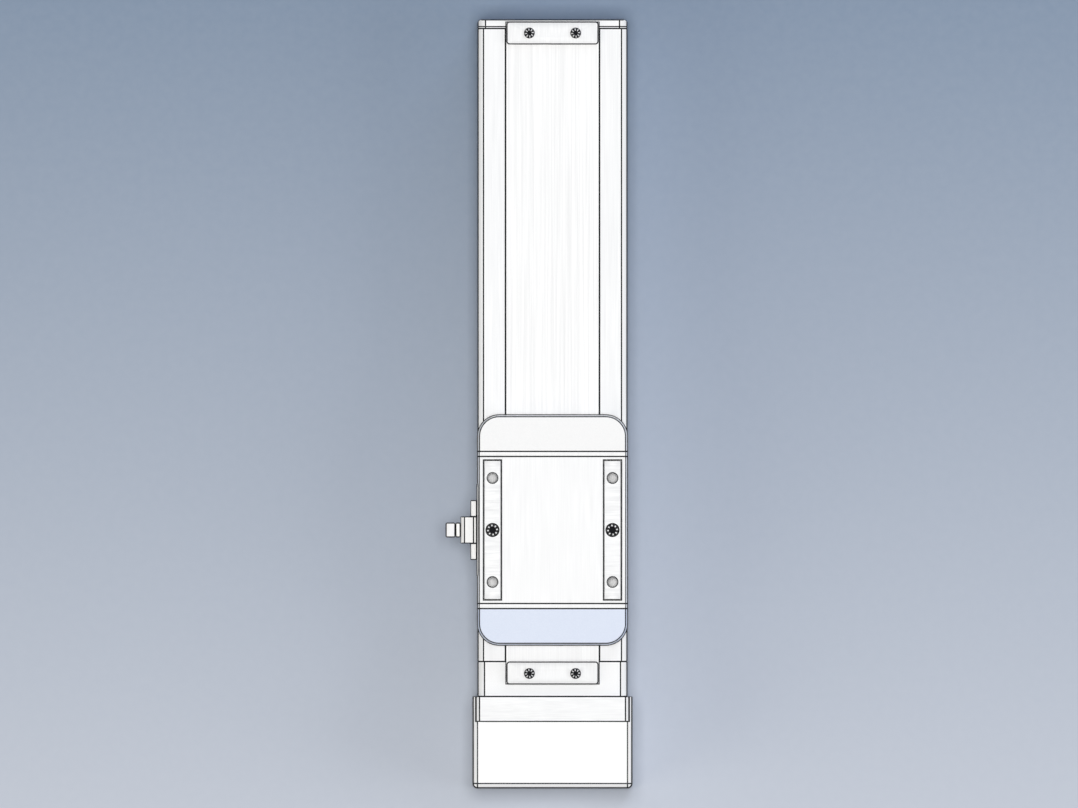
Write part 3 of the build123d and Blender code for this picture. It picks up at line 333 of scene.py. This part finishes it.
# Every CAD node: its finish and the width in millimetres of its broken edges
dressPlan = {
    "base_extrusion": ("extrudedAluminium", 0.5),
    "near_bearing_block": ("blastedBlock", 0.5),
    "far_bearing_block": ("blastedBlock", 0.4),
    "end_seal": ("blastedCap", 0.45),
    "far_end_cap": ("blastedCap", 0.35),
    "drive_plate": ("milledPlate", 0.5),
    "drive_hood": ("hoodPaint", 0.35),
    "slider_cover": ("sliderCover", 0.5),
    "near_seal_plate": ("sliderCover", 0.45),
    "far_seal_plate": ("sliderCover", 0.45),
    # The near slider cap takes the painted blue shade; the far cap keeps its own white.
    "near_slider_cap": ("nearCapPlasticBlueShade", 0.05),
    "far_slider_cap": ("farCapPlastic", 0.05),
    "left_pad": ("padMilled", 0.35),
    "right_pad": ("padMilled", 0.35),
    "near_strip_clamp": ("clampMetal", 0.8),
    "far_strip_clamp": ("clampMetal", 0.8),
    "port_plate": ("sliderCover", 0.55),
    "port_body": ("portMetal", 0.45),
    "grease_nipple": ("nickelFitting", 0.65),
    "nipple_cap": ("capPlastic", 0.85),
    "drive_socket": ("socketPlastic", 0.2),
    "carriage": ("milledPlate", 0.3),
    "left_rail": ("railSteel", 0.2),
    "right_rail": ("railSteel", 0.2),
    "guide_block_near_left": ("railSteel", 0.2),
    "guide_block_near_right": ("railSteel", 0.2),
    "guide_block_far_left": ("railSteel", 0.2),
    "guide_block_far_right": ("railSteel", 0.2),
    "guide_block_seals": ("sealPlastic", 0.2),
    "strip_guides": ("sealPlastic", 0),
    "ball_nut": ("groundSteel", 0.2),
    "ball_screw": ("groundSteel", 0.2),
    "lock_nut": ("groundSteel", 0.15),
    "fixed_bearings": ("groundSteel", 0.1),
    "support_bearing": ("groundSteel", 0.1),
    "bearing_retainer": ("groundSteel", 0.1),
    "retaining_ring": ("groundSteel", 0),
    "lifted_strip": ("stripSteel", 0),
    "near_strip": ("stripSteel", 0),
    "far_strip": ("stripSteel", 0),
    "magnet_strips": ("magnetCompound", 0),
    "encoder_magnet": ("magnetCompound", 0.1),
    "strip_wipers": ("blackRubber", 0.1),
    "bumpers": ("blackRubber", 0.3),
    "motor_stator": ("motorIron", 0.1),
    "motor_rotor": ("motorIron", 0.1),
    "motor_can": ("motorHousing", 0.2),
    "encoder_board": ("circuitBoard", 0.1),
    "drive_board": ("circuitBoard", 0.1),
    "rail_screws": ("screwSteel", 0.15),
    "guide_block_screws": ("screwSteel", 0.15),
    "nut_screws": ("screwSteel", 0.15),
    "motor_screws": ("screwSteel", 0.15),
    "drive_plate_screws": ("screwSteel", 0.15),
    "end_cap_screws": ("screwSteel", 0.1),
    "hood_screws": ("screwSteel", 0.1),
    "slider_cap_screws": ("screwSteel", 0.1),
    "port_screws": ("screwSteel", 0.1),
    "clamp_screws": ("screwSteel", 0.15),
    "pad_screws": ("screwSteel", 0.15),
}
edgePlan = {
    "weldDistance": 0.002 * mm,
    "sharpAngle": 38,
    "normalWeight": 80,
}


def breakEdges(piece, width):
    # Joins the mesh's facets and breaks its sharp edges, which get the second material
    weld = piece.modifiers.new("weld", "WELD")
    weld.merge_threshold = edgePlan["weldDistance"]
    bevel = piece.modifiers.new("bevel", "BEVEL")
    bevel.width = width
    bevel.segments = 1
    bevel.limit_method = "ANGLE"
    bevel.angle_limit = math.radians(edgePlan["sharpAngle"])
    bevel.use_clamp_overlap = False
    bevel.loop_slide = False
    bevel.material = 1
    normals = piece.modifiers.new("normals", "WEIGHTED_NORMAL")
    normals.weight = edgePlan["normalWeight"]


def dressNodes(plan):
    for name, (finish, width) in plan.items():
        piece = cadNodes[name]
        piece.data.materials.clear()
        piece.data.materials.append(finishes[finish])
        piece.data.materials.append(finishes["edgeLine"])
        if width:
            breakEdges(piece, width * mm)


dressNodes(dressPlan)
print("nodes dressed:", len(dressPlan))


# Pieces that are made here: corner points in millimetres, and faces with a finish for each
def makePiece(name, points, faces, finishNames, faceFinishes, smoothAngle=None):
    mesh = bpy.data.meshes.new(name)
    mesh.from_pydata([Vector(point) * mm for point in points], [], faces)
    for finish in finishNames:
        mesh.materials.append(finishes[finish])
    for polygon, finish in zip(mesh.polygons, faceFinishes):
        polygon.material_index = finishNames.index(finish)
    mesh.validate()
    mesh.update()
    if smoothAngle:
        mesh.shade_smooth()
        mesh.set_sharp_from_angle(angle=math.radians(smoothAngle))
    piece = bpy.data.objects.new(name, mesh)
    bpy.context.scene.collection.objects.link(piece)
    return piece


def joinRings(here, there, count):
    # Faces between two rings of points, each given by its first point's number
    faces = []
    for step in range(count):
        after = (step + 1) % count
        faces.append((here + step, here + after, there + after, there + step))
    return faces


def tidyNormals(mesh):
    built = bmesh.new()
    built.from_mesh(mesh)
    bmesh.ops.recalc_face_normals(built, faces=built.faces)
    built.to_mesh(mesh)
    built.free()


# Cover strip: its two flat stretches, from each end to the slider. On the real axis they grow and
# shrink as the slider moves; here each has one fixed length.
stripPlan = {
    "halfWidth": 33.0,
    "edgeWidth": 0.7,
    "base": 62.0,
    "top": 62.3,
    "near": {"end": -237.65, "clampEdge": -221.55, "slider": -210.0},
    "far": {"end": 226.45, "clampEdge": 210.35, "slider": -49.0},
}


def makeStrip(name, node, plan, places):
    # Rows of points at the strip's end, a little inside it, at the clamp and at the slider
    half, edge = plan["halfWidth"], plan["edgeWidth"]
    columns = (-half, edge - half, half - edge, half)
    levels = (plan["base"], plan["top"])
    side = 1 if places["slider"] > places["end"] else -1
    rows = (places["end"], places["end"] + side * edge, places["clampEdge"], places["slider"])
    points = [(x, y, z) for y in rows for z in levels for x in columns]
    lastRow, lastColumn = len(rows) - 1, len(columns) - 1
    faces, kinds = [], []

    def spot(row, level, column):
        return (row * len(levels) + level) * len(columns) + column

    for row in range(lastRow):
        for column in range(lastColumn):
            for level in range(len(levels)):
                faces.append((spot(row, level, column), spot(row, level, column + 1),
                              spot(row + 1, level, column + 1), spot(row + 1, level, column)))
                kinds.append("stripSteel" if column == 1 and row else "edgeLine")
        for column in (0, lastColumn):
            faces.append((spot(row, 0, column), spot(row, 1, column),
                          spot(row + 1, 1, column), spot(row + 1, 0, column)))
            kinds.append("edgeLine")
    for row in (0, lastRow):
        for column in range(lastColumn):
            faces.append((spot(row, 0, column), spot(row, 0, column + 1),
                          spot(row, 1, column + 1), spot(row, 1, column)))
            kinds.append("edgeLine")
    strip = makePiece(name, points, faces, ("stripSteel", "edgeLine"), kinds)
    tidyNormals(strip.data)
    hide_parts(node)
    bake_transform(strip)


makeStrip("nearStrip", "near_strip", stripPlan, stripPlan["near"])
makeStrip("farStrip", "far_strip", stripPlan, stripPlan["far"])
print("cover strips made")


# Screws with knurled heads, hexagon sockets and threaded shanks.
# Each ring has its form, radius and height over the head's seat. On the glint rings, the first
# steps of each patch are painted bright: painted glints standing in for light catching the head.
screwShape = {
    "steps": 48,
    "patchSteps": 6,
    "glintSteps": 2,
    "threadPitch": 0.8,
    "threadDepth": 0.25,
    "crestRise": 0.1,
    "smoothAngle": 32,
}
clampScrewPlan = {
    "rings": [
        ("hex", 1.45, 0.95), ("hex", 1.45, 2.0), ("round", 1.75, 2.2), ("round", 2.2, 2.16),
        ("round", 2.75, 1.95), ("knurl", 3.3, 1.5), ("knurl", 3.68, 0.95), ("knurl", 3.8, 0.5),
        ("round", 3.8, 0.0), ("round", 2.0, 0.0),
    ],
    "threadLength": 9.3,
    "threadRadius": 2.0,
    "knurlDepth": 0.16,
    "glintRings": (2, 3, 4),
    "places": [(x, y, 65.3) for x in (-16.2, 16.2) for y in (-229.95, 218.4)],
}
padScrewPlan = {
    "rings": [
        ("hex", 2.3, 2.2), ("hex", 2.3, 4.7), ("round", 2.6, 5.0), ("round", 3.55, 5.0),
        ("knurl", 3.95, 4.86), ("knurl", 4.25, 4.5), ("knurl", 4.25, 0.5), ("round", 4.1, 0.0),
        ("round", 2.5, 0.0),
    ],
    "threadLength": 7.6,
    "threadRadius": 2.5,
    "knurlDepth": 0.22,
    "glintRings": (2, 3),
    "places": [(x, -129.5, 72.1) for x in (-42.0, 42.0)],
}


def ringPoint(form, radius, height, step, knurlDepth):
    angle = 2 * math.pi * step / screwShape["steps"]
    if form == "hex":
        sixth = math.pi / 3
        radius *= math.cos(sixth / 2) / math.cos(angle % sixth - sixth / 2)
    if form == "knurl":
        radius -= knurlDepth * (step % 2)
    return radius * math.cos(angle), radius * math.sin(angle), height


def makeScrews(name, node, body, plan):
    steps, pitch = screwShape["steps"], screwShape["threadPitch"]
    crestRadius = plan["threadRadius"]
    rootRadius = crestRadius - screwShape["threadDepth"]
    rings = list(plan["rings"])
    for turn in range(round(plan["threadLength"] / pitch)):
        rings.append(("round", rootRadius, -(turn + 0.5) * pitch))
        rings.append(("round", crestRadius, -(turn + 1) * pitch + screwShape["crestRise"]))
    points, faces, kinds = [], [], []
    for place in plan["places"]:
        first = len(points)
        for form, radius, height in rings:
            for step in range(steps):
                spot = ringPoint(form, radius, height, step, plan["knurlDepth"])
                points.append([near + far for near, far in zip(place, spot)])
        for row in range(len(rings) - 1):
            here = first + row * steps
            faces += joinRings(here, here + steps, steps)
            for step in range(steps):
                # The first steps of each patch on the glint rings get the painted glint
                bright = step % screwShape["patchSteps"] < screwShape["glintSteps"]
                glinting = bright and row in plan["glintRings"]
                kinds.append("paintedGlintSteel" if glinting else "edgeLine" if row == 0 else "screwSteel")
        last = first + (len(rings) - 1) * steps
        faces.append(tuple(range(first, first + steps)))
        faces.append(tuple(range(last, last + steps)))
        kinds += ["edgeLine", "screwSteel"]
    names = ("screwSteel", "edgeLine", "paintedGlintSteel")
    angle = screwShape["smoothAngle"]
    screws = makePiece(name, points, faces, names, kinds, angle)
    tidyNormals(screws.data)
    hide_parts(node)
    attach(screws, body)


makeScrews("clampScrews", "clamp_screws", "root", clampScrewPlan)
makeScrews("padScrews", "pad_screws", "slider", padScrewPlan)
print("screws made")


# Black rubber lip round the slider's foot, which keeps dirt off the strip; it also fills the gap
# under the foot and reaches past it as a dark outline, standing in for the shade in that gap.
# Each reach is measured outwards from the outline of that foot.
footShadeLipPlan = {
    "halfWidth": 52.3,
    "halfLength": 80.5,
    "corner": 15.0,
    "middle": -129.5,
    "outerReach": 0.5,
    "rimReach": 0.06,
    "innerReach": -1.2,
    "base": 62.42,
    "top": 62.98,
    "outerTop": 63.2,
    "chamferWidth": 0.25,
    "chamferHeight": 0.2,
    "cornerSteps": 14,
    "smoothAngle": 40,
}


def roundedOutline(plan, reach):
    radius = plan["corner"] + reach
    middleX = plan["halfWidth"] - plan["corner"]
    middleY = plan["halfLength"] - plan["corner"]
    points = []
    for quarter in range(4):
        signX = 1 if quarter in (0, 3) else -1
        signY = 1 if quarter in (0, 1) else -1
        for step in range(plan["cornerSteps"] + 1):
            angle = math.pi / 2 * (quarter + step / plan["cornerSteps"])
            points.append((
                signX * middleX + radius * math.cos(angle),
                plan["middle"] + signY * middleY + radius * math.sin(angle),
            ))
    return points


def makeFootShadeLip(plan):
    outer, inner, rim = plan["outerReach"], plan["innerReach"], plan["rimReach"]
    loops = [
        (inner, plan["base"]), (outer - plan["chamferWidth"], plan["base"]),
        (outer, plan["base"] + plan["chamferHeight"]), (outer, plan["outerTop"]),
        (rim, plan["outerTop"]), (rim, plan["top"]), (inner, plan["top"]),
    ]
    points = [(x, y, z) for reach, z in loops for x, y in roundedOutline(plan, reach)]
    count = len(points) // len(loops)
    faces = []
    for loop in range(len(loops)):
        faces += joinRings(loop * count, (loop + 1) % len(loops) * count, count)
    names = ("blackRubber",)
    kinds = names * len(faces)
    # The black lip shows as painted shade: a dark outline where the gap under the slider's foot is
    # in shadow.
    lip = makePiece("sliderFootShadeLip", points, faces, names, kinds, plan["smoothAngle"])
    tidyNormals(lip.data)
    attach(lip, "slider")


makeFootShadeLip(footShadeLipPlan)
print("slider lip made")


# Contact pins in the drive's socket
pinPlan = {
    "firstColumn": 30.0,
    "columnPitch": 2.25,
    "columnCount": 9,
    "rows": (18.2, 21.8),
    "rear": -309.2,
    "front": -303.5,
    "width": 0.9,
    "tip": 0.45,
    "taper": 0.8,
}


def makePins(plan):
    # Each pin is three square rings: its tip, the end of its taper and its root in the socket
    half, tip = plan["width"] / 2, plan["tip"] / 2
    rings = ((plan["rear"], tip), (plan["rear"] + plan["taper"], half), (plan["front"], half))
    corners = ((-1, -1), (1, -1), (1, 1), (-1, 1))
    sides = len(corners)
    points, faces = [], []
    for column in range(plan["columnCount"]):
        x = plan["firstColumn"] + plan["columnPitch"] * column
        for z in plan["rows"]:
            first = len(points)
            for y, reach in rings:
                points += [(x + right * reach, y, z + up * reach) for right, up in corners]
            last = len(points) - sides
            for here in range(first, last, sides):
                faces += joinRings(here, here + sides, sides)
            faces.append(tuple(range(first, first + sides)))
            faces.append(tuple(range(last, last + sides)))
    names = ("goldContact",)
    pins = makePiece("socketPins", points, faces, names, names * len(faces))
    tidyNormals(pins.data)
    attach(pins, "root")


makePins(pinPlan)
print("socket pins made")


# Floor, light and sky
stagePlan = {
    "floorSize": 12.0,
    "floorFinish": {
        "grain": (180, 180, 180), "depth": 0.1, "roughness": (0.8, 0.92), "specular": 0.1,
    },
    # Painted light falloff: the floor runs from this dark far colour to the pale near colour.
    "farColour": (0.232, 0.298, 0.4, 1),
    "nearColour": (0.57, 0.605, 0.68, 1),
    "farPlace": 0.26,
    "nearPlace": -0.36,
    "mottleColour": (1, 1, 1, 1),
    "mottleCells": (160, 160, 160),
    "mottleShare": 0.02,
    "skyColour": (0.88, 0.905, 0.945, 1),
    "skyStrength": 0.3,
}
lightPlans = {
    "overheadLight": {
        "place": (-0.02, -0.04, 4.2), "aim": (0, -0.04, 0), "size": 1.0, "power": 85.0,
        "colour": (1, 0.992, 0.98),
    },
    "warmLight": {
        "place": (-2.8, -1.4, 1.6), "aim": (0, -0.1, 0.03), "size": 1.8, "power": 24.0,
        "colour": (1, 0.95, 0.8),
    },
    "coolLight": {
        "place": (1.2, 2.8, 1.6), "aim": (0, 0, 0.03), "size": 1.8, "power": 24.0,
        "colour": (0.78, 0.86, 1),
    },
    "sideLight": {
        "place": (3.0, -0.6, 1.6), "aim": (0, -0.05, 0.03), "size": 1.8, "power": 27.0,
        "colour": (1, 1, 1),
    },
}


def makeFloor(plan):
    # A pale sheet painted paler towards the drive end and darker towards the far end: a painted
    # light falloff across the floor
    near, far = plan["nearColour"], plan["farColour"]
    finish = makeFinish("floor", {**plan["floorFinish"], "colour": near, "tint": near})
    tree = finish.node_tree
    shader = tree.nodes["Principled BSDF"]
    place = addNode(tree, "ShaderNodeTexCoord").outputs["Object"]
    split = addNode(tree, "ShaderNodeSeparateXYZ")
    tree.links.new(place, split.inputs[0])
    share = spread(tree, split.outputs[1], 0, 1, plan["nearPlace"], plan["farPlace"])
    fade = mixColours(tree, share, near, far)
    mottle = noise(tree, place, plan["mottleCells"], finishBasics["grainDetail"])
    mottleShare = spread(tree, mottle, 0.0, plan["mottleShare"])
    fade = mixColours(tree, mottleShare, fade, plan["mottleColour"])
    tree.links.new(fade, shader.inputs["Base Color"])
    half = plan["floorSize"] / 2
    corners = [(-half, -half, 0), (half, -half, 0), (half, half, 0), (-half, half, 0)]
    mesh = bpy.data.meshes.new("floor")
    mesh.from_pydata(corners, [], [(0, 1, 2, 3)])
    mesh.materials.append(finish)
    floor = bpy.data.objects.new("floor", mesh)
    bpy.context.scene.collection.objects.link(floor)


def makeSky(plan):
    world = bpy.data.worlds.new("sky")
    world.use_nodes = True
    background = world.node_tree.nodes["Background"]
    background.inputs["Color"].default_value = plan["skyColour"]
    background.inputs["Strength"].default_value = plan["skyStrength"]
    bpy.context.scene.world = world


def makeLight(name, plan):
    lightData = bpy.data.lights.new(name, "AREA")
    lightData.size = plan["size"]
    lightData.energy = plan["power"]
    lightData.color = plan["colour"]
    light = bpy.data.objects.new(name, lightData)
    bpy.context.scene.collection.objects.link(light)
    light.location = plan["place"]
    aim = Vector(plan["aim"]) - Vector(plan["place"])
    light.rotation_euler = aim.to_track_quat("-Z", "Y").to_euler()


makeFloor(stagePlan)
makeSky(stagePlan)
for lightName, lightPlan in lightPlans.items():
    makeLight(lightName, lightPlan)
bpy.context.scene.view_settings.view_transform = "Standard"
print("stage ready")
